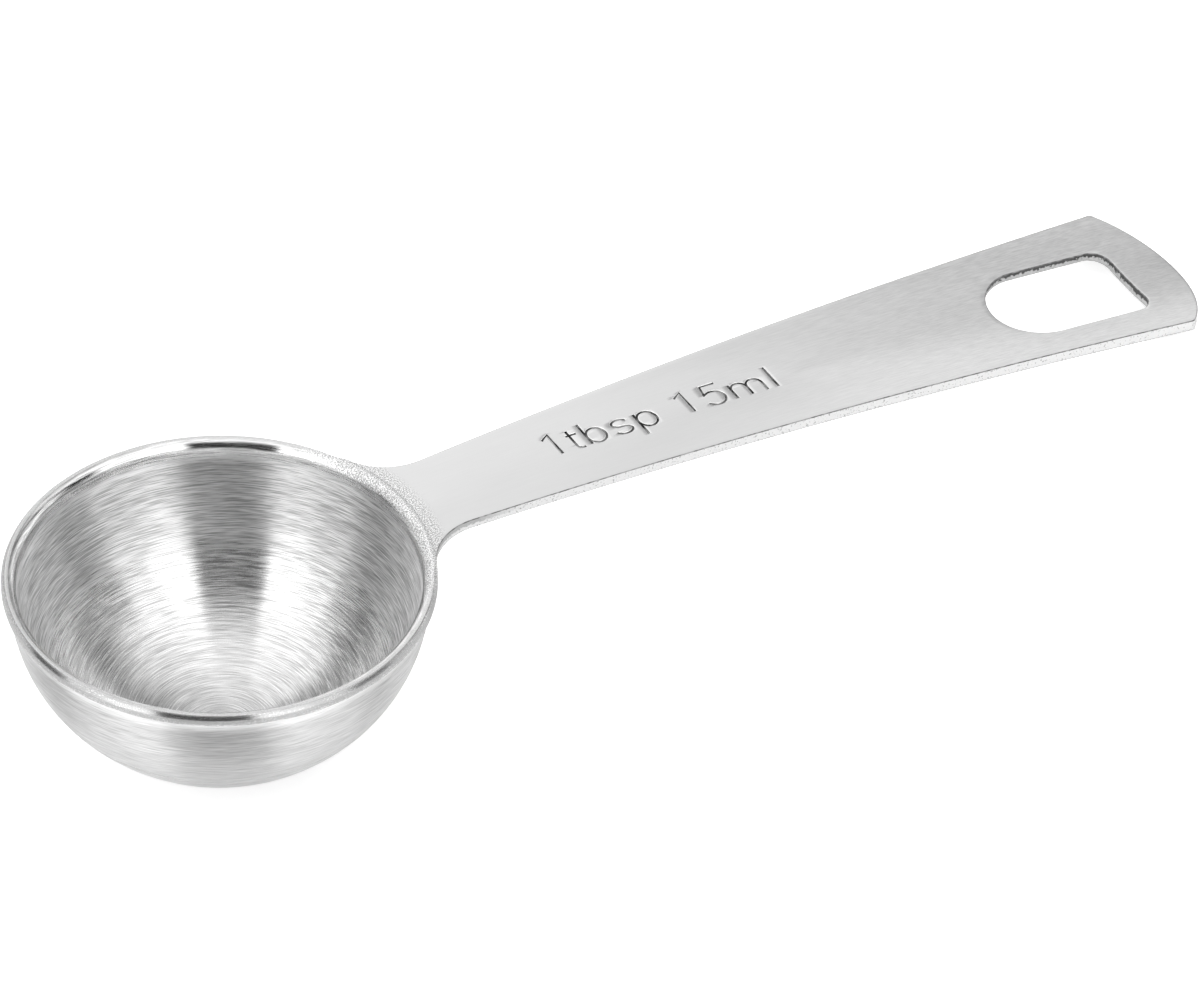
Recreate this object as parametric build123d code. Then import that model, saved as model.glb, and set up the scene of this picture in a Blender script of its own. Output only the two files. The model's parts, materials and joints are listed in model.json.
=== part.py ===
from build123d import *
import math
import os

os.makedirs("parts", exist_ok=True)

# Measuring spoon, one tablespoon (15 ml), in brushed stainless steel.
# It is drawn level, with the bowl's rim in the XY plane, the bowl's axis on Z and the handle along +X,
# and is laid down at the end on the two places where it rests: the bowl's belly and the handle's tip.

# Sheet
sheet_thickness = 1.0

# Bowl
rim_radius = 20.5
rim_land = 0.4
rim_edge_radius = 0.15
draw_radius = 1.0
bowl_depth = 19.1
bowl_wall = 0.75
under_rim_radius = 0.4

# Handle, measured from the rim
handle_length = 87.0
root_half_width = 4.75
middle_half_width = 7.05
tip_half_width = 9.45
root_fillet_radius = 6.3
tip_arc_radius = 13.0
tip_corner_radius = 0.6

# The handle's bend along its length, and its hollow from side to side, which fades out towards the bowl
arch_radius = 610.0
root_dish_radius = 2000.0
tip_dish_radius = 35.0

# Hanging slot, round towards the bowl and square towards the tip
slot_length = 15.75
slot_width = 9.9
slot_corner_radius = 1.9
slot_to_tip = 5.6

# How far the handle's root laps into the rim's circle before it is trimmed to it
root_lap = 0.05

# How far cutting shapes and the strip before trimming run past the finished piece
overrun = 3.0

# Weights that make a curve through three control points an exact quarter of an ellipse
quarter_ellipse_weights = (1, math.sqrt(1 / 2), 1)

# Where the strip's cross-sections are drawn, as shares of the handle's length
section_shares = (0.0, 0.25, 0.5, 0.75, 1.0)

cavity_radius = rim_radius - rim_land - draw_radius
body_radius = cavity_radius + bowl_wall
belly_top = sheet_thickness + under_rim_radius
belly_bottom = bowl_depth + bowl_wall
tip_x = rim_radius + handle_length


def build_bowl():
    """The cup: half an ellipsoid inside and out, rounded out at the top into a narrow flat rim."""
    with BuildPart() as bowl:
        with BuildSketch(Plane.XZ):
            with BuildLine():
                inside = Bezier(
                    (0, -bowl_depth),
                    (cavity_radius, -bowl_depth),
                    (cavity_radius, -draw_radius),
                    weights=quarter_ellipse_weights,
                )
                mouth = CenterArc((cavity_radius + draw_radius, -draw_radius), draw_radius, 180, -90)
                corner = CenterArc((rim_radius - rim_edge_radius, -rim_edge_radius), rim_edge_radius, 90, -90)
                lip = CenterArc((body_radius + under_rim_radius, -belly_top), under_rim_radius, 90, 90)
                outside = Bezier(
                    (0, -belly_bottom),
                    (body_radius, -belly_bottom),
                    (body_radius, -belly_top),
                    weights=quarter_ellipse_weights,
                )
                Line(mouth @ 1, corner @ 0)
                Polyline(corner @ 1, (rim_radius, -sheet_thickness), lip @ 0)
                Line(inside @ 0, outside @ 0)
            make_face()
        revolve(axis=Axis.Z)
    return bowl.part


def strip_section(travel):
    """The strip's cross-section, square to the arch, at a distance along it from the rim."""
    turn = travel / arch_radius
    plane = Plane(
        origin=(rim_radius + arch_radius * math.sin(turn), 0, arch_radius * (math.cos(turn) - 1)),
        x_dir=(0, 1, 0),
        z_dir=(math.cos(turn), 0, -math.sin(turn)),
    )
    tip_share = max(travel / handle_length, 0)
    dish_radius = 1 / ((1 - tip_share) / root_dish_radius + tip_share / tip_dish_radius)
    under_radius = dish_radius + sheet_thickness
    half_width = tip_half_width + overrun
    top_edge = dish_radius - math.sqrt(dish_radius**2 - half_width**2)
    under_edge = dish_radius - math.sqrt(under_radius**2 - half_width**2)
    with BuildSketch(plane) as section:
        with BuildLine():
            top = ThreePointArc((-half_width, top_edge), (0, 0), (half_width, top_edge))
            under = ThreePointArc((half_width, under_edge), (0, -sheet_thickness), (-half_width, under_edge))
            Line(top @ 1, under @ 0)
            Line(under @ 1, top @ 0)
        make_face()
    return section.sketch


def build_strip():
    """The arched and dished sheet that the handle is trimmed from."""
    travels = [share * handle_length for share in section_shares]
    travels = [-overrun] + travels + [handle_length + overrun]
    return loft([strip_section(travel) for travel in travels])


def handle_outline():
    """The handle seen from above: flared sides, a round tip, and a root that fits the rim's circle."""
    tip_centre_x = tip_x - tip_arc_radius
    tip_side_x = tip_centre_x + math.sqrt(tip_arc_radius**2 - tip_half_width**2)
    root_x = cavity_radius
    with BuildSketch() as outline:
        with BuildLine():
            near_side = ThreePointArc(
                (root_x, -root_half_width),
                ((root_x + tip_side_x) / 2, -middle_half_width),
                (tip_side_x, -tip_half_width),
            )
            far_side = ThreePointArc(
                (tip_side_x, tip_half_width),
                ((root_x + tip_side_x) / 2, middle_half_width),
                (root_x, root_half_width),
            )
            ThreePointArc(near_side @ 1, (tip_x, 0), far_side @ 0)
            Line(far_side @ 1, near_side @ 0)
        make_face()
        fillet(outline.vertices().sort_by(Axis.X)[-2:], tip_corner_radius)
        Circle(rim_radius - root_lap)
        roots = [v for v in outline.vertices() if v.X > 0 and v.X < rim_radius]
        fillet(roots, root_fillet_radius)
        Circle(rim_radius, mode=Mode.SUBTRACT)
    return outline.sketch


def slot_outline():
    """The hanging slot seen from above."""
    end_x = tip_x - slot_to_tip
    round_x = end_x - slot_length + slot_width / 2
    with BuildSketch() as slot:
        with Locations(((round_x + end_x) / 2, 0)):
            Rectangle(end_x - round_x, slot_width)
        fillet(slot.vertices().sort_by(Axis.X)[-2:], slot_corner_radius)
        with Locations((round_x, 0)):
            Circle(slot_width / 2)
    return slot.sketch


def build_handle():
    cut_depth = arch_radius - math.sqrt(arch_radius**2 - handle_length**2) + sheet_thickness + overrun
    trim = extrude(handle_outline(), cut_depth, both=True)
    slot = extrude(slot_outline(), cut_depth, both=True)
    return build_strip() & trim - slot


def resting_tilt():
    """The rise of the straight line that touches both the bowl's belly and the tip's lower edge, in degrees."""
    belly_height = belly_bottom - belly_top
    under_arch = arch_radius - sheet_thickness
    tip_z = math.sqrt(under_arch**2 - handle_length**2) - arch_radius
    drop = tip_z + belly_top
    # The line z = slope x + c touches an ellipse where (drop - slope tip_x)^2 = belly_height^2 + (slope body_radius)^2
    square = tip_x**2 - body_radius**2
    slope = (drop * tip_x + math.sqrt((drop * tip_x) ** 2 - square * (drop**2 - belly_height**2))) / square
    return math.degrees(math.atan(slope))


bowl = build_bowl()
handle = build_handle()
lying = Rot(0, resting_tilt(), 0)
bowl = lying * bowl
handle = lying * handle
box = Compound([bowl, handle]).bounding_box()
placed = Pos(-box.center().X, 0, -box.min.Z)
pieces = {"bowl": placed * bowl, "handle": placed * handle}

for name, piece in pieces.items():
    export_step(piece, f"parts/{name}.step")
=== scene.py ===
# %% [markdown]
# # A steel measuring spoon
#
# A one-tablespoon measure: a bowl drawn from thin steel sheet, and a handle cut from flat sheet, pressed into
# a gentle arch and joined to the bowl's rim. Its solids come packed from the CAD source. This lesson dresses
# them: it models both pieces again with finely rounded edges, cuts the measure into the handle, and gives
# each the brushed steel that it is made of.

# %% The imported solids
import json
from math import acos, asin, atan2, cos, pi, radians, sin, sqrt

import bmesh
import bpy
import numpy as np
from mathutils import Matrix, Vector


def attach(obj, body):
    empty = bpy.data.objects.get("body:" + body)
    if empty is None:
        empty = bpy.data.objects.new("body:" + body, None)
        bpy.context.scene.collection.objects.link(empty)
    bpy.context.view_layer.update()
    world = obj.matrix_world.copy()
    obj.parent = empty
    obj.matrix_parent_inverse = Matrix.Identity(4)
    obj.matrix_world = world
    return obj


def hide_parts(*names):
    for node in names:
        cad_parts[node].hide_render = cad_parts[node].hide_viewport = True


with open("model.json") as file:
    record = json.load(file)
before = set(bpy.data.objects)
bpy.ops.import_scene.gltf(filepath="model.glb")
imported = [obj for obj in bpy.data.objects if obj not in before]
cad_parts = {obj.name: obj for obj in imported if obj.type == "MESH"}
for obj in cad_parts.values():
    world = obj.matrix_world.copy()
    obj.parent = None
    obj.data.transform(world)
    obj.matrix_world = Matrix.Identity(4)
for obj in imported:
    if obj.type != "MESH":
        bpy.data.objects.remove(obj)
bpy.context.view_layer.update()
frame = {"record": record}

# %% [markdown]
# ## Drawing level, in millimetres
#
# The spoon lies on its belly and on the handle's tip, so everything on it leans a little. It is much easier
# to draw it level, with the rim flat at height zero and the handle along X, and to lay the finished meshes
# down at the end. The record's mount at the bowl's mouth says where the rim's centre is and which way the
# bowl looks, and that is all that the move needs.

# %% The level frame
mouth = next(mount for mount in frame["record"]["mounts"] if mount["name"] == "bowl_mouth")
bowl_axis = Vector(mouth["axis"]).normalized()
along = Vector((0, 1, 0)).cross(bowl_axis).normalized()
turned = Matrix((along, (0, 1, 0), bowl_axis)).transposed().to_4x4()
millimetre = 0.001
laid_down = Matrix.Translation(mouth["pos_m"]) @ turned @ Matrix.Scale(millimetre, 4)
degrees = 180 / pi
print("the spoon leans by", round(asin(bowl_axis.x) * degrees, 2), "degrees")

# %% [markdown]
# ## Sizes
#
# The real sizes, in millimetres. Those of the worn slope round the rim and of the rounded cut edges are for
# the looks alone: they only show close up, and the solids leave them out.

# %% The sizes
rim_radius = 20.5
rim_land = 0.4
edge_arc_radius = 0.95
edge_steep, edge_gentle = 20, 55
draw_radius = 1.0
bowl_depth = 19.1
bowl_wall = 0.75
under_rim_radius = 0.4
sheet = 1.0
handle_length = 87.0
root_half_width = 4.75
middle_half_width = 7.05
tip_half_width = 9.45
root_fillet_radius = 6.3
root_lap = 0.05
tip_arc_radius = 13.0
tip_corner_radius = 0.7
arch_radius = 610.0
tip_dish_radius = 35.0
slot_length = 15.75
slot_width = 9.9
slot_corner_radius = 1.9
slot_to_tip = 5.6
cut_edge_radius = 0.08

cavity_radius = rim_radius - rim_land - draw_radius
body_radius = cavity_radius + bowl_wall
tip_x = rim_radius + handle_length
print("cavity", round(cavity_radius, 2), "body", round(body_radius, 2), "tip at", tip_x)

# %% [markdown]
# ## Small helpers for modelling by hand
#
# Operators act on whatever is selected, so each step begins with nothing selected and one object active.
# Vertices are then picked in code, by their place. `finish_piece` does what ends every piece: it lays the
# mesh down in metres, so that the object itself stays at the origin.


# %% Selecting, and moving vertices
def clear_selection():
    if bpy.context.object and bpy.context.object.mode != "OBJECT":
        bpy.ops.object.mode_set(mode="OBJECT")
    bpy.ops.object.select_all(action="DESELECT")


def work_on(piece):
    clear_selection()
    piece.select_set(True)
    bpy.context.view_layer.objects.active = piece


def coordinates(piece):
    flat = np.empty(len(piece.data.vertices) * 3)
    piece.data.vertices.foreach_get("co", flat)
    return flat.reshape(-1, 3)


def move_to(piece, places):
    piece.data.vertices.foreach_set("co", np.asarray(places).ravel())
    piece.data.update()


# %% Normals, modifiers, and what ends a piece
def turn_faces_outwards(piece):
    work_on(piece)
    bpy.ops.object.mode_set(mode="EDIT")
    bpy.ops.mesh.select_all(action="SELECT")
    bpy.ops.mesh.normals_make_consistent(inside=False)
    bpy.ops.object.mode_set(mode="OBJECT")


def apply_modifier(piece, kind, **settings):
    work_on(piece)
    modifier = piece.modifiers.new(kind.title(), kind)
    for key, value in settings.items():
        setattr(modifier, key, value)
    bpy.ops.object.modifier_apply(modifier=modifier.name)


def finish_piece(piece, node):
    piece.data.transform(laid_down)
    work_on(piece)
    bpy.ops.object.shade_smooth_by_angle(angle=radians(40))
    apply_modifier(piece, "WEIGHTED_NORMAL", keep_sharp=True)
    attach(piece, "root")
    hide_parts(node)
    print(piece.name, "has", len(piece.data.polygons), "faces")


# %% [markdown]
# ## The bowl
#
# The real bowl is drawn in a press: a disc is pushed into a round die, which leaves half an ellipsoid with a
# soft curve out to a narrow flat rim. A UV sphere cut in half would bunch its faces at the bottom and has no
# rim. So one circle is drawn where the rim's flat land begins, and it is extruded and resized ring by ring
# along the bowl's profile: down the inside, and then over the worn edge and down the outside. Each stretch of
# the profile is an arc or a quarter of an ellipse, so its points come from a formula.

# %% The bowl's profile
small_arc_rings, lip_rings, wall_rings = 6, 12, 56


def arc(centre, across, rise, start, end, steps):
    """Points on part of an ellipse, as (radius, height), without its first point."""
    turns = [radians(start + (end - start) * step / steps) for step in range(1, steps + 1)]
    return [(centre[0] + across * cos(turn), centre[1] + rise * sin(turn)) for turn in turns]


land_start = (rim_radius - rim_land, 0.0)
inside = arc((land_start[0], -draw_radius), draw_radius, draw_radius, 90, 180, lip_rings)
inside += arc((0, -draw_radius), cavity_radius, bowl_depth - draw_radius, 0, -90, wall_rings)

steep, gentle = radians(edge_steep), radians(edge_gentle)
edge_width = edge_arc_radius * (cos(steep) - cos(gentle))
edge_drop = edge_arc_radius * (sin(gentle) - sin(steep))
edge_centre = (rim_radius - edge_arc_radius * cos(steep), -edge_arc_radius * sin(gentle))
belly_top = sheet + under_rim_radius
belly_rise = bowl_depth + bowl_wall - belly_top
under_rim_centre = (body_radius + under_rim_radius, -belly_top)
outside = [(rim_radius - edge_width, 0.0)]
outside += arc(edge_centre, edge_arc_radius, edge_arc_radius, edge_gentle, edge_steep, small_arc_rings)
outside += [(rim_radius, -sheet)]
outside += arc(under_rim_centre, under_rim_radius, under_rim_radius, 90, 180, small_arc_rings)
outside += arc((0, -belly_top), body_radius, belly_rise, 0, -90, wall_rings)
print("profile points:", len(inside) + len(outside) + 1)

# %% Raising the bowl ring by ring
bowl_sides = 320
weld_distance = 1e-5
same_place = 1e-4
least_radius = 1e-9


def pull_rings(points, start):
    """Extrudes the selected ring from point to point and closes the last one at the axis."""
    radius, height = start
    for new_radius, new_height in points:
        step = (0, 0, new_height - height)
        bpy.ops.mesh.extrude_region_move(TRANSFORM_OT_translate={"value": step})
        scale = max(new_radius, 0) / radius
        bpy.ops.transform.resize(value=(scale, scale, 1), center_override=(0, 0, new_height))
        radius, height = max(new_radius, least_radius), new_height


def select_ring(piece, at_radius):
    """Selects the vertices on the ring at height zero, in edit mode."""
    mesh = bmesh.from_edit_mesh(piece.data)
    for vertex in mesh.verts:
        on_circle = abs(vertex.co.xy.length - at_radius) < same_place
        vertex.select = on_circle and abs(vertex.co.z) < same_place
    mesh.select_flush_mode()
    bmesh.update_edit_mesh(piece.data)


clear_selection()
bpy.ops.mesh.primitive_circle_add(vertices=bowl_sides, radius=land_start[0], location=(0, 0, 0))
bowl = bpy.context.object
bowl.name = "bowl_shell"
bpy.ops.object.mode_set(mode="EDIT")
bpy.ops.mesh.select_all(action="SELECT")
pull_rings(inside, land_start)
bpy.ops.mesh.select_all(action="DESELECT")
select_ring(bowl, land_start[0])
pull_rings(outside, land_start)
bpy.ops.mesh.select_all(action="SELECT")
bpy.ops.mesh.remove_doubles(threshold=weld_distance)
turn_faces_outwards(bowl)
print("bowl:", len(bowl.data.polygons), "faces")

# %% [markdown]
# The rim's outer corner is worn to an easy slope. Where the handle meets the rim, the joint is dressed flush,
# so that slope has to fade into a square corner there. Scaling the corner's arc about the sharp corner point
# does just that: it keeps its shape and still ends on the flat above and on the edge beside it, whatever its
# size.

# %% Squaring the rim where the handle joins
root_half_chord = 8.3
root_reach = asin(root_half_chord / rim_radius)
root_fade = radians(4)
least_kept = 0.02
places = coordinates(bowl)
radii = np.hypot(places[:, 0], places[:, 1])
turns = np.abs(np.arctan2(places[:, 1], places[:, 0]))
on_slope = (radii > rim_radius - edge_width - same_place) & (places[:, 2] > -edge_drop - same_place)
kept = np.clip((turns - root_reach) / root_fade, least_kept, 1)
kept = np.where(on_slope, kept, 1)
new_radii = rim_radius + (radii - rim_radius) * kept
places[:, :2] *= (new_radii / np.maximum(radii, least_radius))[:, None]
places[:, 2] *= kept
move_to(bowl, places)
print("rim corner squared over", round(2 * root_reach * degrees), "degrees")

# %% [markdown]
# ## The handle's blank
#
# The real handle is punched from flat sheet and then pressed. The model goes the same way: a plain grid
# becomes the flat blank when its rows are laid along the outline. The rows follow a few key rows, which are
# curves across the handle: the concave root that fits the rim, a straight one past the root's fillets, one
# round the slot's round end, one round its square end, and the round tip. Between two key rows the grid is
# blended, and its two border columns follow the cut sides exactly. So the slot is nothing but a block of
# missing faces, with clean faces round it that take a bevel well.
#
# First come the curves. The side is one long arc through three half-widths, and the root's fillet and the
# tip's corner are small circles that touch it.

# %% The handle's side
tip_centre_x = tip_x - tip_arc_radius
tip_side_x = tip_centre_x + sqrt(tip_arc_radius**2 - tip_half_width**2)


def circle_through(a, b, c):
    """Centre and radius of the circle through three plan points."""
    (ax, ay), (bx, by), (cx, cy) = a, b, c
    a2, b2, c2 = ax**2 + ay**2, bx**2 + by**2, cx**2 + cy**2
    d = 2 * (ax * (by - cy) + bx * (cy - ay) + cx * (ay - by))
    x = (a2 * (by - cy) + b2 * (cy - ay) + c2 * (ay - by)) / d
    y = (a2 * (cx - bx) + b2 * (ax - cx) + c2 * (bx - ax)) / d
    return Vector((x, y)), sqrt((ax - x) ** 2 + (ay - y) ** 2)


side_centre, side_radius = circle_through(
    (cavity_radius, root_half_width),
    ((cavity_radius + tip_side_x) / 2, middle_half_width),
    (tip_side_x, tip_half_width),
)
side_sign = 1 if side_centre.y < 0 else -1


def side_y(x, offset=0.0):
    """Half-width of the handle at x, or of its side moved outwards by an offset."""
    moved_radius = side_radius + side_sign * offset
    return side_centre.y + side_sign * sqrt(moved_radius**2 - (x - side_centre.x) ** 2)


print("the side's radius is", round(side_radius, 1))

# %% The root's fillet and the tip's corner
halvings = 60


def meet(circle_x, circle_radius, offset, low, high):
    """Where a circle on the centre line crosses the side moved by an offset."""
    for _ in range(halvings):
        middle = (low + high) / 2
        within = (middle - circle_x) ** 2 + side_y(middle, offset) ** 2 < circle_radius**2
        low, high = (middle, high) if within else (low, middle)
    return Vector((low, side_y(low, offset)))


def side_foot(centre):
    """The point of the side that is nearest to a small circle's centre."""
    return side_centre + (centre - side_centre).normalized() * side_radius


reach = rim_radius - root_lap + root_fillet_radius
fillet_centre = meet(0, reach, root_fillet_radius, rim_radius, reach)
fillet_turn = acos((reach**2 + rim_radius**2 - root_fillet_radius**2) / (2 * reach * rim_radius))
root_turn = atan2(fillet_centre.y, fillet_centre.x) - fillet_turn
fillet_rim_end = Vector((cos(root_turn), sin(root_turn))) * rim_radius
fillet_side_end = side_foot(fillet_centre)

corner_reach = tip_arc_radius - tip_corner_radius
corner_centre = meet(tip_centre_x, corner_reach, -tip_corner_radius, tip_centre_x, tip_x)
from_tip_centre = corner_centre - Vector((tip_centre_x, 0))
corner_tip_end = corner_centre + from_tip_centre.normalized() * tip_corner_radius
corner_side_end = side_foot(corner_centre)
print("fillet from", fillet_rim_end[:], "to", fillet_side_end[:])
print("tip corner from", corner_side_end[:], "to", corner_tip_end[:])

# %% The key rows
slot_end_x = tip_x - slot_to_tip
half_slot = slot_width / 2
slot_round_x = slot_end_x - slot_length + half_slot
slot_corner = Vector((slot_end_x - slot_corner_radius, half_slot - slot_corner_radius))
inner_columns, outer_columns = 12, 8
inner_share = 0.42
inner_steps = [step / inner_columns for step in range(inner_columns + 1)]
tip_turn = atan2(corner_tip_end.y, corner_tip_end.x - tip_centre_x)
before_slot_x = slot_round_x - slot_width


def around(centre, radius, turn):
    return Vector((centre[0] + radius * cos(turn), centre[1] + radius * sin(turn)))


def straight_row(x):
    return [Vector((x, step * inner_share * side_y(x))) for step in inner_steps]


def square_end_row():
    """Along the slot's straight end and half round its corner."""
    half_turn = slot_corner_radius * pi / 4
    row = []
    for step in inner_steps:
        travel = step * (slot_corner.y + half_turn)
        turn = max(travel - slot_corner.y, 0) / slot_corner_radius
        row.append(around((slot_corner.x, min(travel, slot_corner.y)), slot_corner_radius, turn))
    return row


root_row = [around((0, 0), rim_radius, step * inner_share * root_turn) for step in inner_steps]
neck_row = straight_row(fillet_side_end.x)
before_slot_row = straight_row(before_slot_x)
round_end_row = [around((slot_round_x, 0), half_slot, pi - step * pi / 4) for step in inner_steps]
square_row = square_end_row()
tip_row = [around((tip_centre_x, 0), tip_arc_radius, step * inner_share * tip_turn) for step in inner_steps]
print("slot from", round_end_row[0].x, "to", square_row[0].x)


# %% Blending between key rows, and the border columns
def blended(row_a, row_b, share):
    return [a.lerp(b, share) for a, b in zip(row_a, row_b)]


def with_border(inner, edge, bulge=None, weight=0.0):
    """Half a row: its inner points, then its outer ones out to the edge point."""
    outer = []
    for step in range(1, outer_columns + 1):
        share = step / outer_columns
        point = inner[-1].lerp(edge, share)
        if bulge and weight:
            point += (bulge(share) - bulge(0).lerp(bulge(1), share)) * weight
        outer.append(point)
    return inner + outer


def root_bulge(share):
    return around((0, 0), rim_radius, root_turn * (inner_share + (1 - inner_share) * share))


def tip_bulge(share):
    turn = tip_turn * (inner_share + (1 - inner_share) * share)
    return around((tip_centre_x, 0), tip_arc_radius, turn)


def side_point(x):
    return Vector((x, side_y(x)))


def shares(steps):
    return [step / steps for step in range(1, steps + 1)]


def heading(centre, point):
    """The direction from a centre to a point, as an angle."""
    return atan2(point.y - centre.y, point.x - centre.x)


# %% Rows from the root to the slot
fillet_rows, neck_rows, lead_rows = 18, 60, 8
rows = [with_border(root_row, fillet_rim_end, root_bulge, 1)]
fillet_from = heading(fillet_centre, fillet_rim_end) % (2 * pi)
fillet_to = heading(fillet_centre, fillet_side_end) % (2 * pi)
for share in shares(fillet_rows):
    edge = around(fillet_centre, root_fillet_radius, fillet_from + (fillet_to - fillet_from) * share)
    rows.append(with_border(blended(root_row, neck_row, share), edge, root_bulge, (1 - share) ** 2))
for share in shares(neck_rows):
    x = fillet_side_end.x + (before_slot_x - fillet_side_end.x) * share
    rows.append(with_border(straight_row(x), side_point(x)))
round_edge_x = round_end_row[-1].x
for share in shares(lead_rows):
    x = before_slot_x + (round_edge_x - before_slot_x) * share
    rows.append(with_border(blended(before_slot_row, round_end_row, share), side_point(x)))
slot_first_row = len(rows) - 1
print("rows up to the slot:", len(rows))

# %% Rows beside the slot
round_rows, straight_rows, corner_rows = 10, 12, 6
slot_side = [around((slot_round_x, 0), half_slot, pi * (0.75 - 0.25 * share)) for share in shares(round_rows)]
slot_side_end = Vector((slot_corner.x, half_slot))
slot_side += [slot_side[-1].lerp(slot_side_end, share) for share in shares(straight_rows)]
for share in shares(corner_rows):
    slot_side.append(around(slot_corner, slot_corner_radius, pi * (0.5 - 0.25 * share)))
for point in slot_side:
    rows.append(with_border([point] * (inner_columns + 1), side_point(point.x)))
slot_last_row = len(rows) - 1
rows[slot_last_row] = with_border(square_row, side_point(square_row[-1].x))
print("rows beside the slot:", slot_last_row - slot_first_row)

# %% Rows round the tip
tip_rows = 16
side_run = corner_side_end.x - square_row[-1].x
corner_from = heading(corner_centre, corner_side_end)
corner_run = abs(corner_from - heading(corner_centre, corner_tip_end)) * tip_corner_radius
for share in shares(tip_rows):
    travel = share * (side_run + corner_run)
    if travel <= side_run:
        edge = side_point(square_row[-1].x + travel)
    else:
        turn = corner_from - (travel - side_run) / tip_corner_radius
        edge = around(corner_centre, tip_corner_radius, turn)
    rows.append(with_border(blended(square_row, tip_row, share), edge, tip_bulge, share**2))
half_columns = inner_columns + outer_columns
print("rows:", len(rows), "columns:", 2 * half_columns + 1)

# %% [markdown]
# The grid primitive already has the right faces. Each vertex is known by its place in the square, and is
# moved to its point on its row. The faces of the slot's block are deleted while the grid is still regular and
# they are easy to pick.

# %% Cutting the slot out of the grid
clear_selection()
last_row = len(rows) - 1
bpy.ops.mesh.primitive_grid_add(x_subdivisions=last_row, y_subdivisions=2 * half_columns, size=2)
handle = bpy.context.object
handle.name = "handle_sheet"
bpy.ops.object.mode_set(mode="EDIT")
bpy.ops.mesh.select_mode(type="FACE")
blank = bmesh.from_edit_mesh(handle.data)
for face in blank.faces:
    middle = face.calc_center_median()
    in_rows = slot_first_row < (middle.x + 1) / 2 * last_row < slot_last_row
    face.select = in_rows and abs(middle.y) * half_columns < inner_columns
bmesh.update_edit_mesh(handle.data)
bpy.ops.mesh.delete(type="FACE")
bpy.ops.object.mode_set(mode="OBJECT")
print("grid with its slot:", len(handle.data.polygons), "faces")

# %% Laying the grid along the rows
grid = coordinates(handle)
row_of = np.rint((grid[:, 0] + 1) / 2 * last_row).astype(int)
column_of = np.rint(grid[:, 1] * half_columns).astype(int)
for index, (row, column) in enumerate(zip(row_of, column_of)):
    point = rows[row][abs(column)]
    grid[index] = (point.x, point.y if column >= 0 else -point.y, 0)
move_to(handle, grid)
print("the blank measures", handle.dimensions[:])

# %% [markdown]
# ## Pressing, thickness and edges
#
# Pressing lifts every point of the flat blank to the die's surface: an arch along the handle, tangent to the
# rim, and a hollow across it that deepens towards the tip. Solidify then gives the sheet its thickness
# downwards.

# %% Pressing the blank
least_curvature = 1e-6


def pressed_height(x, y):
    fall = np.sqrt(arch_radius**2 - np.maximum(x - rim_radius, 0) ** 2) - arch_radius
    curvature = np.clip((x - rim_radius) / handle_length, 0, 1) / tip_dish_radius + least_curvature
    return fall + (1 - np.sqrt(1 - (curvature * y) ** 2)) / curvature


pressed = coordinates(handle)
pressed[:, 2] = pressed_height(pressed[:, 0], pressed[:, 1])
move_to(handle, pressed)
turn_faces_outwards(handle)
downwards = 1 if handle.data.polygons[0].normal.z < 0 else -1
apply_modifier(handle, "SOLIDIFY", thickness=sheet, offset=downwards, use_even_offset=True)
turn_faces_outwards(handle)
print("pressed and thickened: lowest", round(coordinates(handle)[:, 2].min(), 2))

# %% [markdown]
# A cut edge of sheet doesn't look like its face. The outline's cut is bright and flecked, the slot's wall is
# dark with painted shade above a lighter part, and a dark tone paints a fine line of shade along both rims of
# the cut. So the faces are sorted now, while they are easy to tell apart: an upright face is part of a cut,
# and one inside the slot's rectangle is the slot's wall. The four materials are only named here, and they get
# their nodes further on.

# %% Sorting the handle's faces
handle_steels = ("handle_steel", "painted_edge_shade_steel", "cut_steel", "slot_steel")
painted_edge_shade, cut_edge, slot_wall = 1, 2, 3
upright_below = 0.5
slack = 0.1
for name in handle_steels:
    handle.data.materials.append(bpy.data.materials.new(name))
bpy.ops.object.mode_set(mode="EDIT")
sorted_faces = bmesh.from_edit_mesh(handle.data)
for face in sorted_faces.faces:
    middle = face.calc_center_median()
    if abs(face.normal.z) < upright_below:
        in_length = slot_end_x - slot_length - slack < middle.x < slot_end_x + slack
        in_slot = in_length and abs(middle.y) < half_slot + slack
        face.material_index = slot_wall if in_slot else cut_edge
bmesh.update_edit_mesh(handle.data)
for index, name in enumerate(handle_steels):
    print(name, sum(face.material_index == index for face in sorted_faces.faces), "faces")

# %% [markdown]
# The cut edges of real sheet are a little rounded by tumbling, and that fine line is what catches the light.
# So the sharp edges are bevelled, but not at the root, where the handle stands flush against the rim. The
# bevel's own faces take a dark steel, which paints a fine line of shade along the cut's rims.

# %% Rounding the cut edges
sharp_angle = radians(50)
bevel_segments = 3
bpy.ops.mesh.select_all(action="DESELECT")
bpy.ops.mesh.select_mode(type="EDGE")
cut = bmesh.from_edit_mesh(handle.data)
for edge in cut.edges:
    at_root = all(vertex.co.xy.length < rim_radius + root_lap for vertex in edge.verts)
    edge.select = not at_root and edge.calc_face_angle(0) > sharp_angle
bmesh.update_edit_mesh(handle.data)
# The bevel's faces take the dark steel that paints a line of shade along the cut's rims.
bpy.ops.mesh.bevel(offset=cut_edge_radius, segments=bevel_segments, affect="EDGES", material=painted_edge_shade)
bpy.ops.object.mode_set(mode="OBJECT")
print("handle:", len(handle.data.polygons), "faces")

# %% [markdown]
# ## The measure on the handle
#
# The real handle has its measure pressed into it in thin plain strokes: one tablespoon, 15 ml. A text object
# would give thick outline letters. Here each letter is a few strokes, straight runs and parts of ellipses, in
# millimetres from the letter's own corner. Each is placed along a baseline that sinks a little to the right.


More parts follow.
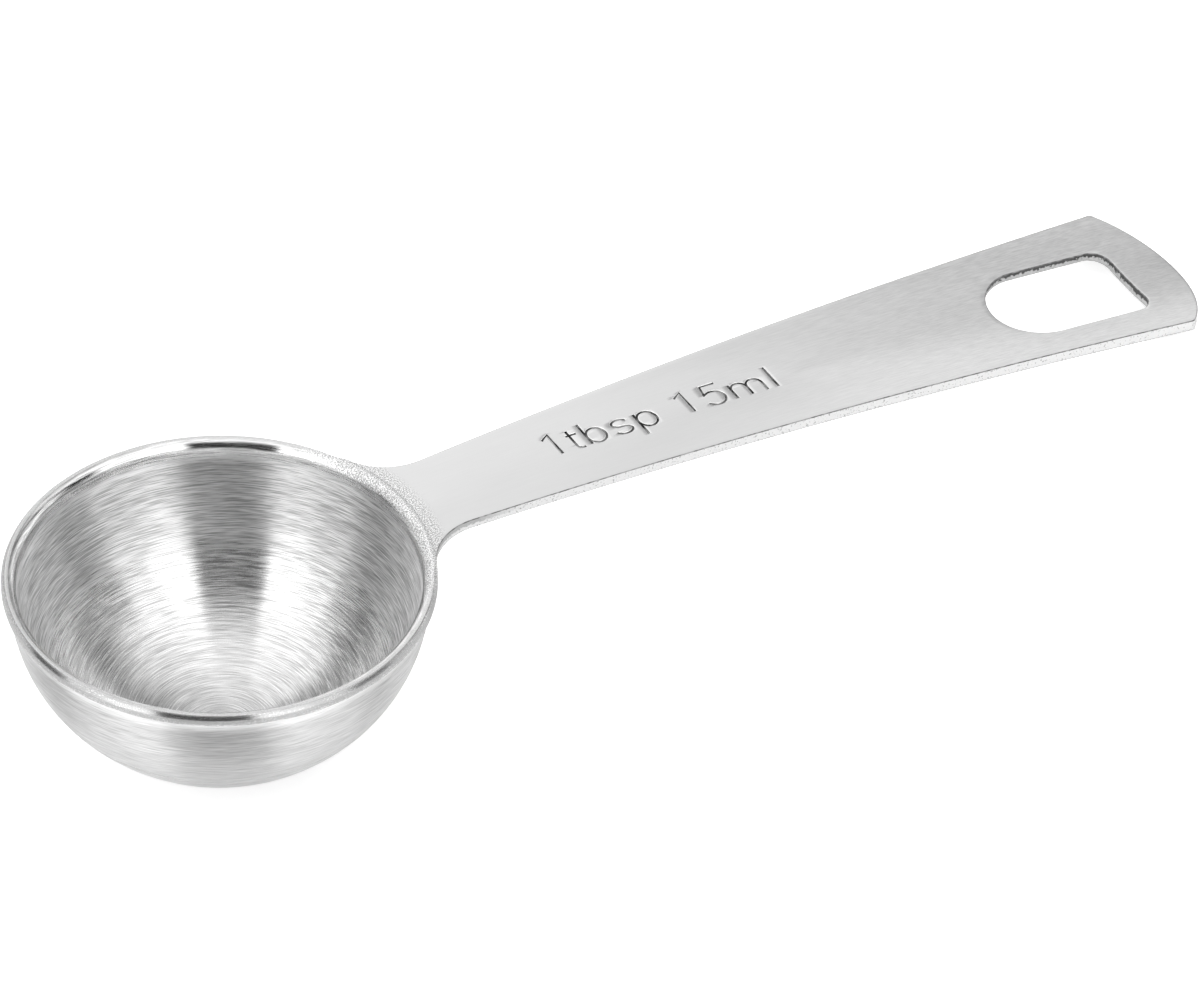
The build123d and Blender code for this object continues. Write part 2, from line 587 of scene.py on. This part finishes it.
# %% The letters' strokes
def swing(centre, across, rise, start, end, steps=14):
    """Points on part of an ellipse, from the start to the end in degrees."""
    turns = [radians(start + (end - start) * step / steps) for step in range(steps + 1)]
    return [(centre[0] + across * cos(turn), centre[1] + rise * sin(turn)) for turn in turns]


tall, small, below = 3.15, 2.1, -1.05
round_width, round_rise = 0.98, 1.08
round_stroke = swing((round_width, small / 2), round_width, round_rise, 0, 360, 28)
one = [[(0, tall - 0.65), (0.95, tall), (0.95, 0)]]
letter_t = [[(0.4, 2.75)] + swing((0.9, 0.5), 0.5, 0.5, 180, 290), [(0, small), (1.15, small)]]
letter_b = [[(0, tall), (0, 0)], round_stroke]
letter_s = [swing((0.92, 1.6), 0.82, 0.52, 15, 270) + swing((0.95, 0.54), 0.88, 0.54, 90, -165)]
letter_p = [[(0, small), (0, below)], round_stroke]
five = [[(2.05, 3.05), (0.5, 3.05), (0.25, 1.7)] + swing((1.08, 1.02), 1.08, 1.02, 140, -150, 20)]
hump_width = 1.66
hump = swing((hump_width / 2, 1.3), hump_width / 2, 0.78, 180, 0)
second_hump = [(x + hump_width, y) for x, y in hump]
letter_m = [[(0, small), (0, 0)], hump + [(hump_width, 0)], second_hump + [(2 * hump_width, 0)]]
letter_l = [[(0, tall), (0, 0)]]

marking = [(one, 36.15), (letter_t, 38.5), (letter_b, 40.35), (letter_s, 43.2), (letter_p, 45.95),
           (one, 50.7), (five, 53.35), (letter_m, 56.45), (letter_l, 60.95)]
baseline_y = -0.62
baseline_slope = -0.019
print("strokes:", sum(len(strokes) for strokes, _ in marking))

# %% [markdown]
# Each stroke becomes a curve with a round bevel, like a ball-nosed cutter's path, and is taken away with a
# Boolean. A thick rod that only just dips into the face leaves the soft shoulder of a pressed stroke, bright
# partly from its slope and partly from a painted highlight in its pale steel, and a thin one leaves the
# groove in its middle, in a dark steel. Each groove keeps its own cutter's material.

# %% The cutters
shoulder_radius, shoulder_lift = 0.35, 0.29
groove_radius, groove_lift = 0.12, -0.02
same_point = 1e-6


def stroke_place(x, y, lift):
    """A point of a stroke, at a height above the pressed face."""
    place_y = baseline_y + baseline_slope * (x - marking[0][1]) + y
    return (x, place_y, float(pressed_height(x, place_y)) + lift, 1)


def marking_cutter(name, radius, lift):
    """A round rod along every stroke, its middle at a height above the pressed face."""
    clear_selection()
    bpy.ops.curve.primitive_bezier_curve_add()
    cutter = bpy.context.object
    cutter.name = name
    cutter.data.splines.clear()
    for strokes, start_x in marking:
        for stroke in strokes:
            closed = (Vector(stroke[0]) - Vector(stroke[-1])).length < same_point
            points = stroke[:-1] if closed else stroke
            spline = cutter.data.splines.new("POLY")
            spline.points.add(len(points) - 1)
            spline.use_cyclic_u = closed
            for point, (x, y) in zip(spline.points, points):
                point.co = stroke_place(start_x + x, y, lift)
    cutter.data.bevel_depth = radius
    cutter.data.bevel_resolution = 3
    cutter.data.use_fill_caps = True
    bpy.ops.object.convert(target="MESH")
    cutter.data.materials.append(bpy.data.materials.new(name))
    print(name, "has", len(cutter.data.polygons), "faces")
    return cutter


shoulder_cutter = marking_cutter("shoulder_highlight_steel", shoulder_radius, shoulder_lift)
groove_cutter = marking_cutter("groove_steel", groove_radius, groove_lift)

# %% Cutting the strokes
for cutter in (shoulder_cutter, groove_cutter):
    apply_modifier(handle, "BOOLEAN", object=cutter, operation="DIFFERENCE", solver="EXACT", use_self=True,
                   material_mode="TRANSFER")
    bpy.data.objects.remove(cutter)
print("marked handle:", len(handle.data.polygons), "faces of", [m.name for m in handle.data.materials])

# %% [markdown]
# ## Brushed steel
#
# Brushed steel is a clean metal with fine scratches that all run one way. Two things make its look. The
# scratches blur a reflection across themselves and leave it sharp along themselves, which is what the
# shader's anisotropy does. And single scratches show as lines a little lighter, darker or rougher than the
# rest, which is noise that is stretched along the brushing. In the bowl the brush went round, and on the
# handle it went along.
#
# Shader sums are easier to read as Python, so a small class wraps a socket and turns operators into Math
# nodes.


# %% Shader arithmetic
class Signal:
    """A number that changes over a surface: a node's output, with arithmetic."""

    def __init__(self, finish, socket):
        self.finish = finish
        self.socket = socket

    def maths(self, operation, *values):
        return self.finish.maths(operation, *values)

    def __add__(self, other):
        return self.maths("ADD", self, other)

    def __sub__(self, other):
        return self.maths("SUBTRACT", self, other)

    def __rsub__(self, other):
        return self.maths("SUBTRACT", other, self)

    def __mul__(self, other):
        return self.maths("MULTIPLY", self, other)

    def __truediv__(self, other):
        return self.maths("DIVIDE", self, other)

    def __pow__(self, other):
        return self.maths("POWER", self, other)

    __radd__ = __add__
    __rmul__ = __mul__

    def rises(self, low, high):
        """0 below low, 1 above high, and smooth between them; turned round if low is the larger."""
        settings = {"interpolation_type": "SMOOTHSTEP"}
        return self.finish.node("ShaderNodeMapRange", settings, self, low, high, 0.0, 1.0)


# %% Wiring nodes
class Wiring:
    """Nodes in one node tree, added with their settings and values in one call."""

    def __init__(self, tree):
        self.tree = tree
        self.nodes = tree.nodes
        self.nodes.clear()

    def node(self, kind, settings=None, *values, out=0, **named):
        """Adds a node: its settings, then its sockets in order or by name, each a value or a Signal."""
        node = self.nodes.new(kind)
        for key, value in (settings or {}).items():
            setattr(node, key, value)
        for key, value in [*enumerate(values), *named.items()]:
            self.feed(node.inputs[key], value)
        return Signal(self, node.outputs[out])

    def feed(self, target, value):
        if isinstance(value, Signal):
            self.tree.links.new(value.socket, target)
        else:
            target.default_value = value

    def maths(self, operation, *values):
        return self.node("ShaderNodeMath", {"operation": operation}, *values)

    def outlet(self, kind, surface):
        """Ends the tree with its output node."""
        self.feed(self.nodes.new(kind).inputs[0], surface)

    def split(self, vector):
        axes = self.node("ShaderNodeSeparateXYZ", None, vector).socket.node
        return [Signal(self, socket) for socket in axes.outputs]

    def vector(self, x, y, z):
        return self.node("ShaderNodeCombineXYZ", None, x, y, z)

    def noise(self, place, scale, detail=2.0, roughness=0.5):
        named = {"Vector": place, "Scale": scale, "Detail": detail, "Roughness": roughness}
        return self.node("ShaderNodeTexNoise", None, **named)

    def mix(self, share, colour_a, colour_b):
        """Mixes two colours. The node keeps its colour sockets behind those of its other data types."""
        mixed = self.node("ShaderNodeMix", {"data_type": "RGBA"}, share, out=2)
        self.feed(mixed.socket.node.inputs[6], colour_a)
        self.feed(mixed.socket.node.inputs[7], colour_b)
        return mixed

    def ramp(self, position, stops):
        """A run of greys from stops of place and value."""
        ramp = self.node("ShaderNodeValToRGB", None, position)
        elements = ramp.socket.node.color_ramp.elements
        for index in (0, -1):
            elements[index].position = stops[index][0]
            elements[index].color = grey(stops[index][1])
        for place, value in stops[1:-1]:
            elements.new(place).color = grey(value)
        return ramp


def grey(value):
    return (value, value, value, 1)


# %% [markdown]
# Every finish here is one metal shader. Its patterns are drawn in the level millimetres of the spoon, which a
# Mapping node works out from the object's own coordinates by undoing the lean.

# %% A steel
bump_distance = 0.00003


class Steel(Wiring):
    """A material with one metal shader, and the spoon's level millimetres as place, x, y and z."""

    def __init__(self, name):
        self.material = bpy.data.materials.get(name) or bpy.data.materials.new(name)
        self.material.use_nodes = True
        super().__init__(self.material.node_tree)
        self.shader = self.nodes.new("ShaderNodeBsdfPrincipled")
        self.outlet("ShaderNodeOutputMaterial", Signal(self, self.shader.outputs[0]))
        laid = self.node("ShaderNodeTexCoord", out="Object")
        undone = (mouth["pos_m"], turned.to_euler(), [millimetre] * 3)
        self.place = self.node("ShaderNodeMapping", {"vector_type": "TEXTURE"}, laid, *undone)
        self.x, self.y, self.z = self.split(self.place)

    def flecks(self, scale, detail=2.0):
        """Noise that is the same in every direction."""
        return self.noise(self.place, scale, detail)

    def radius(self):
        """Distance from the bowl's axis."""
        return (self.x**2 + self.y**2) ** 0.5

    def bump(self, strength, height):
        named = {"Strength": strength, "Distance": bump_distance, "Height": height}
        return self.node("ShaderNodeBump", None, **named)

    def finished(self, **inputs):
        for key, value in {"Metallic": 1.0, **inputs}.items():
            self.feed(self.shader.inputs[key.replace("_", " ")], value)
        return self.material


# %% [markdown]
# The grain at the joint belongs to both pieces: where the handle was joined and dressed, a band that follows
# the rim has a sandy look instead of brush lines. It is drawn from the distance to the bowl's axis, and it
# fades where the root's fillets end.


# %% The joint's grain
def joint_grain(steel):
    """How much of the dressed band shows, its grain, and the grain's tone."""
    radius = steel.radius()
    aside = steel.maths("ABSOLUTE", steel.maths("ARCTAN2", steel.y, steel.x))
    across = radius.rises(18.9, 19.6) * radius.rises(22.4, 21.0)
    band = across * aside.rises(0.8, 0.4) * steel.z.rises(-2.2, -1.2)
    grain = (steel.flecks(8.0, detail=1.0) - 0.5) * 6 + 0.5
    return band, grain, steel.mix(grain, grey(0.42), grey(1.0))


# %% [markdown]
# The bowl was polished with a brush that turned inside it, so its scratches are rings. Noise that changes
# slowly with x and y but quickly with the way down the wall gives such rings, broken into lengths. Short
# scratches slant a little across long ones, and a broad slow noise makes whole zones paler. High on the wall
# the brush pressed less and left the steel rougher, and just under the lip it polished it smoother. A painted
# highlight lightens a band under the lip, the outside is quiet and a little darker with painted shade, and
# the worn edge's flecks darken it, partly as sandy wear and partly as painted shade.

# %% The bowl's finish
shell_middle_radius = cavity_radius + bowl_wall / 2
shell_middle_depth = bowl_depth - 0.4


def ring_noise(steel, along, down):
    """Noise drawn out into rings: slow along them, and as quick down the wall as it is told."""
    place = steel.vector(steel.x * along, steel.y * along, down)
    return steel.noise(place, 1.0, detail=1.0)


def bowl_finish():
    """Rings of scratches, rougher high up the wall, quieter and with painted shade on the outside."""
    steel = Steel("bowl_steel")
    radius, z = steel.radius(), steel.z
    down = steel.maths("ARCTAN2", radius, 0 - z) * bowl_depth
    short = ring_noise(steel, 0.5, (down + steel.y * 0.1) * 12)
    long = ring_noise(steel, 0.25, down * 11)
    broad = ring_noise(steel, 0.1, down * 1.2)

    shell = (radius / shell_middle_radius) ** 2 + ((z + draw_radius) / shell_middle_depth) ** 2
    outside, bottom = shell.rises(0.98, 1.02), z.rises(-14.0, -18.0)
    upper, lip = z.rises(-13.0, -4.0), z.rises(-2.6, -0.8)
    # A painted highlight: a band just under the lip is made lighter.
    lip_painted_highlight = z.rises(-3.0, -1.8) * z.rises(-0.6, -1.1)
    edge = radius.rises(20.05, 20.15) * z.rises(-1.2, -0.9)
    band, grain, grain_tone = joint_grain(steel)

    lines = (short - 0.5) * 2.2 + (long - 0.5) * 2.0 + (broad - 0.5) * 0.5
    lines = lines * (1 - outside * 0.6 - bottom * 0.4)
    # The outer edge is darkened with flecks: partly sandy wear, partly painted shade.
    edge_wear_and_shade = edge * (steel.flecks(9.0, detail=1.0) - 0.75) * 2
    # Painted shade: the outside is made a little darker, and the bowl is darker towards the bottom.
    shade = lip_painted_highlight * 0.4 + edge_wear_and_shade - bottom * 0.12 - outside * 0.1
    tone = steel.mix(lines + 0.5 + shade, grey(0.43), grey(0.98))
    roughness = 0.25 + upper * 0.19 - lip * 0.28 + edge * 0.08 + lines * 0.05 + band * 0.15
    relief = (short * 0.5 + long * 0.5) * (1 - band) + grain * band
    return steel.finished(Base_Color=steel.mix(band, tone, grain_tone), Roughness=roughness,
                          Anisotropic=1.0, Anisotropic_Rotation=0.25, Normal=steel.bump(0.4, relief))


bowl.data.materials.append(bowl_finish())
print("bowl_steel has", len(bowl.data.materials[0].node_tree.nodes), "nodes")

# %% [markdown]
# The rim's land was ground flat after the bowl was brushed, so it is dull and sandy. It has a material of its
# own, and its faces are picked as those that look straight up outside the cavity.

# %% The rim's land
level_above = 0.97


def rim_finish():
    """Dull and sandy, without brush lines."""
    steel = Steel("rim_steel")
    band, grain, grain_tone = joint_grain(steel)
    sand = (steel.flecks(9.0, detail=1.0) - 0.5) * 2 + 0.5
    tone = steel.mix(band, steel.mix(sand, grey(0.5), grey(0.78)), grain_tone)
    return steel.finished(Base_Color=tone, Roughness=0.45, Normal=steel.bump(0.3, grain))


bowl.data.materials.append(rim_finish())
for face in bowl.data.polygons:
    face.material_index = int(face.normal.z > level_above and face.center.xy.length > cavity_radius)
print("faces of the land:", sum(face.material_index for face in bowl.data.polygons))

# %% [markdown]
# The handle was brushed along its length, and only lightly, so its scratches are very fine and its anisotropy
# is half the bowl's. They show more towards the tip, and a slow cloud keeps the long face from being one flat
# grey. Steel seen along its surface mirrors a little less than a plain metal shader does, which is what a
# metal's specular tint says. Without it, the handle would burn out to white in a low view.


# %% The handle's finish
def handle_finish():
    """Fine scratches along the handle, under a slow change of tone."""
    steel = Steel("handle_steel")
    x, y, z = steel.x, steel.y, steel.z
    fine = steel.noise(steel.vector(x * 0.25, y * 7, z * 7), 1.0, detail=3.0, roughness=0.6)
    cloud = steel.noise(steel.vector(x * 0.08, y * 0.2, z * 0.1), 1.0)
    lines = (fine - 0.5) * (x.rises(45, 90) * 1.3 + 0.2) + (cloud - 0.5) * 0.3
    band, grain, grain_tone = joint_grain(steel)
    tone = steel.mix(band, steel.mix(lines + 0.5, grey(0.58), grey(0.84)), grain_tone)
    roughness = 0.4 + lines * 0.2 + band * 0.1
    relief = fine * (1 - band) * 0.3 + grain * band
    return steel.finished(Base_Color=tone, Roughness=roughness, Specular_Tint=grey(0.6),
                          Anisotropic=0.5, Normal=steel.bump(0.3, relief))


print(handle_finish().name, "is brushed along the handle")

# %% [markdown]
# Painted shade darkens the upper part of the cuts, in the slot's wall and where the outline bends round to
# the rim, so a cut's colour changes with its depth below the pressed face. The depth comes from the same arch
# and hollow that pressed the blank, worked out again as shader sums.


# %% The cuts
def cut_depth(steel):
    """Millimetres below the handle's upper face."""
    run = steel.maths("MAXIMUM", steel.x - rim_radius, 0.0)
    fall = run**2 / (-2 * arch_radius)
    hollow = run * steel.y**2 / (2 * handle_length * tip_dish_radius)
    return fall + hollow - steel.z


def slot_finish():
    """The slot's wall: painted shade on its upper part, lighter below, with a ragged line between."""
    steel = Steel("slot_steel")
    flecks = steel.flecks(3.0) - 0.5
    # Painted shade: the wall's upper part is dark, the part below is lighter.
    below_painted_shade = (cut_depth(steel) + flecks * 1.2).rises(0.4, 0.55)
    tone = steel.mix(below_painted_shade * 0.85 + flecks * 0.6, grey(0.1), grey(0.65))
    return steel.finished(Base_Color=tone, Roughness=0.5)


def cut_finish():
    """The outline's cut: bright and flecked, with painted shade on its upper half where it bends round to the
    rim.
    """
    steel = Steel("cut_steel")
    flecks = steel.flecks(5.0)
    upper_half = (cut_depth(steel) + (flecks - 0.5) * 0.6).rises(0.62, 0.4)
    # Painted shade: the cut's upper half is darkened near the root.
    root_painted_shade = steel.x.rises(31, 24) * upper_half
    tone = steel.mix(flecks.rises(0.3, 0.42) * (1 - root_painted_shade * 0.85), grey(0.4), grey(0.76))
    return steel.finished(Base_Color=tone, Roughness=0.5)


print("cuts:", slot_finish().name, cut_finish().name)


# %% The painted edge shade and the strokes
def flecked_finish(name, scale, dark, light, roughness):
    """Plain metal between a dark and a light tone."""
    steel = Steel(name)
    tone = steel.mix(steel.flecks(scale).rises(0.35, 0.65), grey(dark), grey(light))
    return steel.finished(Base_Color=tone, Roughness=roughness)


# Painted shade: a dark steel for the bevels along the cut's rims.
flecked_finish("painted_edge_shade_steel", 1.5, 0.15, 0.35, 0.4)
# The shoulder's pale steel is a painted highlight round each stroke.
flecked_finish("shoulder_highlight_steel", 3.0, 0.8, 1.0, 0.3)
flecked_finish("groove_steel", 0.8, 0.03, 0.3, 0.45)
print("finishes:", sorted(m.name for m in bpy.data.materials if m.use_nodes))

# %% [markdown]
# ## Laying the spoon down
#
# Both pieces were drawn level. Now each mesh is leaned and scaled into the place of its solid, smoothed
# between its sharp edges and attached to the root's body, and the solid itself is hidden.

# %% Both pieces in their places
finish_piece(bowl, "bowl")
finish_piece(handle, "handle")

# %% [markdown]
# ## Floor, camera and light
#
# The photograph's ground is plain white. The floor is white too, and glows a little for the camera and for
# reflections, so that it comes out white while the spoon's soft shadow stays.

# %% The floor
clear_selection()
bpy.ops.mesh.primitive_plane_add(size=6)
floor = bpy.context.object
floor.name = "floor"
ground = bpy.data.materials.new("white_ground")
ground.use_nodes = True
wires = Wiring(ground.node_tree)
kinds = ("Is Camera Ray", "Is Glossy Ray", "Is Transmission Ray")
seen, mirrored, through = (wires.node("ShaderNodeLightPath", out=kind) for kind in kinds)
glow_seen, glow_mirrored = 0.5, 0.16
glow = seen * glow_seen + (mirrored + through) * glow_mirrored
paint = {"Base Color": grey(0.9), "Roughness": 0.9, "Specular IOR Level": 0.0}
glowing = {"Emission Color": grey(1), "Emission Strength": glow}
wires.outlet("ShaderNodeOutputMaterial", wires.node("ShaderNodeBsdfPrincipled", None, **paint, **glowing))
floor.data.materials.append(ground)
print("the floor measures", floor.dimensions[:2], "metres")

# %% [markdown]
# The camera is far away with a long lens, as product photographers use for small things. It is placed from
# the rim's centre by its compass direction and height in the level frame, and then leans with the spoon.

# %% The camera
picture_width, picture_height = 1200, 1000
view_turn, view_height, view_roll = radians(31.5), radians(40.28), radians(1.2)
view_distance = 965.0
focal_pixels = 10288.0
rim_pixel = (219.5, 573.4)

level_forward = Vector((sin(view_turn), cos(view_turn), 0))
forward = level_forward * cos(view_height) + Vector((0, 0, -sin(view_height)))
level_right = Vector((cos(view_turn), -sin(view_turn), 0))
level_up = level_right.cross(forward)
right = cos(view_roll) * level_right + sin(view_roll) * level_up
up = -sin(view_roll) * level_right + cos(view_roll) * level_up
pixel = view_distance / focal_pixels
rim_to_middle = (picture_width / 2 - rim_pixel[0], picture_height / 2 - rim_pixel[1])
from_rim = right * rim_to_middle[0] * pixel - up * rim_to_middle[1] * pixel
camera_place = laid_down @ (from_rim - forward * view_distance)

camera = bpy.data.objects.new("camera", bpy.data.cameras.new("camera"))
bpy.context.collection.objects.link(camera)
stand = Matrix((right, up, -forward)).transposed().to_4x4()
camera.matrix_world = Matrix.Translation(camera_place) @ turned @ stand
camera.data.sensor_width = 36
camera.data.lens = focal_pixels / picture_width * camera.data.sensor_width
camera.data.clip_end = 20
bpy.context.scene.camera = camera
print("camera at", [round(c, 3) for c in camera_place], "lens", round(camera.data.lens, 1))

# %% [markdown]
# A brushed bowl shows the room as a fan: each direction round the bowl mirrors one strip of the room, drawn
# out by the brushing. In a small studio the strips would be soft boxes, black card and white walls. Here they
# are painted on the world. It is easier to say where a strip shows in the spoon than where it stands, so each
# direction of the room is first turned into the slope that would mirror it to the camera: halfway between the
# two. The slope's compass direction picks the strip, and its tilt tells the walls from the ceiling.

# %% The room's slopes
world = bpy.data.worlds.new("studio")
world.use_nodes = True
room = Wiring(world.node_tree)
direction = room.node("ShaderNodeTexCoord", out="Generated")
to_world = turned.to_3x3()
halfway = room.node("ShaderNodeVectorMath", {"operation": "SUBTRACT"}, direction, to_world @ forward)


def leaning(level_direction):
    """How far the halfway slope leans along a direction of the level frame."""
    settings = {"operation": "DOT_PRODUCT"}
    return room.node("ShaderNodeVectorMath", settings, halfway, to_world @ level_direction, out="Value")


to_left, to_near, upward = leaning(-level_right), leaning(-level_forward), leaning(Vector((0, 0, 1)))
facing = room.maths("ARCTAN2", to_left, to_near) * degrees
tilt = room.maths("ARCTAN2", upward, (to_left**2 + to_near**2) ** 0.5) * degrees
print("the room is drawn with", len(room.nodes), "nodes so far")

# %% [markdown]
# Low tilts are the bowl's wall: a dark gap in the middle, a bright box on each side, a dark card beyond, and
# grey walls behind the spoon. The boxes are brightest near the gap and low down, which keeps the stripes of
# the fan white high up the wall, and above a certain tilt they spread. High tilts are the bowl's bottom and
# the handle: a pale ceiling, darker to the right. Values are brightnesses, and angles are in degrees.

# %% The walls
fan_middle = 2.8
gap, box, card, grey_wall, side_wall, behind = 0.03, 1.55, 0.05, 1.15, 0.5, 0.5
spread_above, spread = 45, 1.6
low_gain = 0.55
half_turn = 180
aside = room.maths("ABSOLUTE", facing - fan_middle)
beside = aside - room.maths("MAXIMUM", tilt - spread_above, 0.0) * spread
strips = [(0, box), (38, box), (43, card), (52, card), (58, grey_wall), (76, grey_wall), (88, side_wall),
          (100, behind), (half_turn, behind)]
walls = room.ramp(beside / half_turn, [(place / half_turn, value / box) for place, value in strips])
low_boxes = tilt.rises(54, 36) * tilt.rises(4, 14) * aside.rises(32, 24)
walls = walls * (1 + low_boxes * low_gain)
in_gap = aside.rises(15.2, 11.2) * tilt.rises(60, 46)
walls = walls * (1 - in_gap) + in_gap * (gap / box)
print("the room has", len(strips), "strips on each side")

# %% The ceiling, and the room as a whole
ceiling, ceiling_middle, ceiling_darker, ceiling_right = 1.27, 1.03, 0.74, 0.39
overhead = [(0.0, ceiling), (0.04, ceiling), (0.09, ceiling_middle), (0.13, ceiling_darker),
            (0.2, ceiling_right), (1.0, ceiling_right)]
rightward = (to_left / upward) * -1
lid = room.ramp(rightward, [(place, value / box) for place, value in overhead])
ceiling_share = (tilt + aside.rises(80, 120) * 20).rises(60, 76)
painted = room.node("ShaderNodeBackground", None, room.mix(ceiling_share, walls, lid), box)
plain = room.node("ShaderNodeBackground", None, grey(1), 1.0)
camera_ray = room.node("ShaderNodeLightPath", out="Is Camera Ray")
room.outlet("ShaderNodeOutputWorld", room.node("ShaderNodeMixShader", None, camera_ray, painted, plain))
bpy.context.scene.world = world
bpy.context.scene.view_settings.view_transform = "Standard"
print("the room has", len(room.nodes), "nodes")
